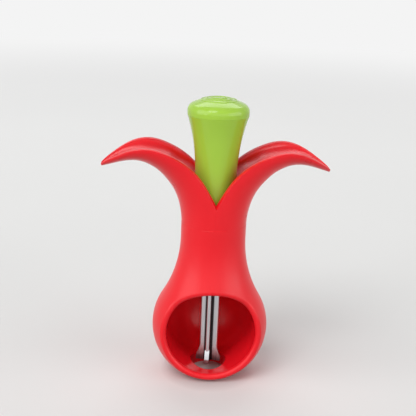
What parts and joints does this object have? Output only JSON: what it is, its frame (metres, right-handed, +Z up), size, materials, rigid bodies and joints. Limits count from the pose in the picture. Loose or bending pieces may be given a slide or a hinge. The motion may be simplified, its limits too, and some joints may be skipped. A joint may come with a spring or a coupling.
{
  "type": "cherry pitter",
  "caption": "Hand-held plunger cherry pitter: flower-shaped finger grip with an open cherry chamber, sprung thumb plunger and crossed steel prongs over a pit outlet.",
  "frame": {"origin": "centre of the pit outlet, in the plane of the foot that the body stands on", "axes": "+Z up along the plunger, -Y out of the chamber's mouth, +X along the right petal"},
  "size_m": [0.0816, 0.0363, 0.1048],
  "materials": {
    "body_red": "satin outside, glossy in the chamber",
    "plunger_green": "glossy",
    "bush_white": "plain moulded",
    "prong_steel": "brushed along the strip",
    "spring_wire": "drawn wire"
  },
  "bodies": {
    "grip": {"flower_body": "body_red", "guide_bush": "bush_white", "return_spring": "spring_wire"},
    "spring_seat": {"thrust_washer": "bush_white"},
    "plunger": {"plunger_stem": "plunger_green", "thumb_cap": "plunger_green", "prong_holder": "bush_white", "prong_blade_side": "prong_steel", "prong_blade_front": "prong_steel", "blade_pins": "prong_steel"}
  },
  "joints": [
    {"name": "plunger_slide", "type": "slide", "parent": "grip", "child": "spring_seat", "axis": [0, 0, 1], "range_m": [0, 0.0256], "stiffness_N_per_m": 360, "springref_m": 0.0336, "deforming": ["return_spring"]},
    {"name": "plunger_twist", "type": "hinge", "parent": "spring_seat", "child": "plunger", "pos_m": [0, 0, 0.0572], "axis": [0, 0, 1], "range_deg": [0, 30]}
  ]
}
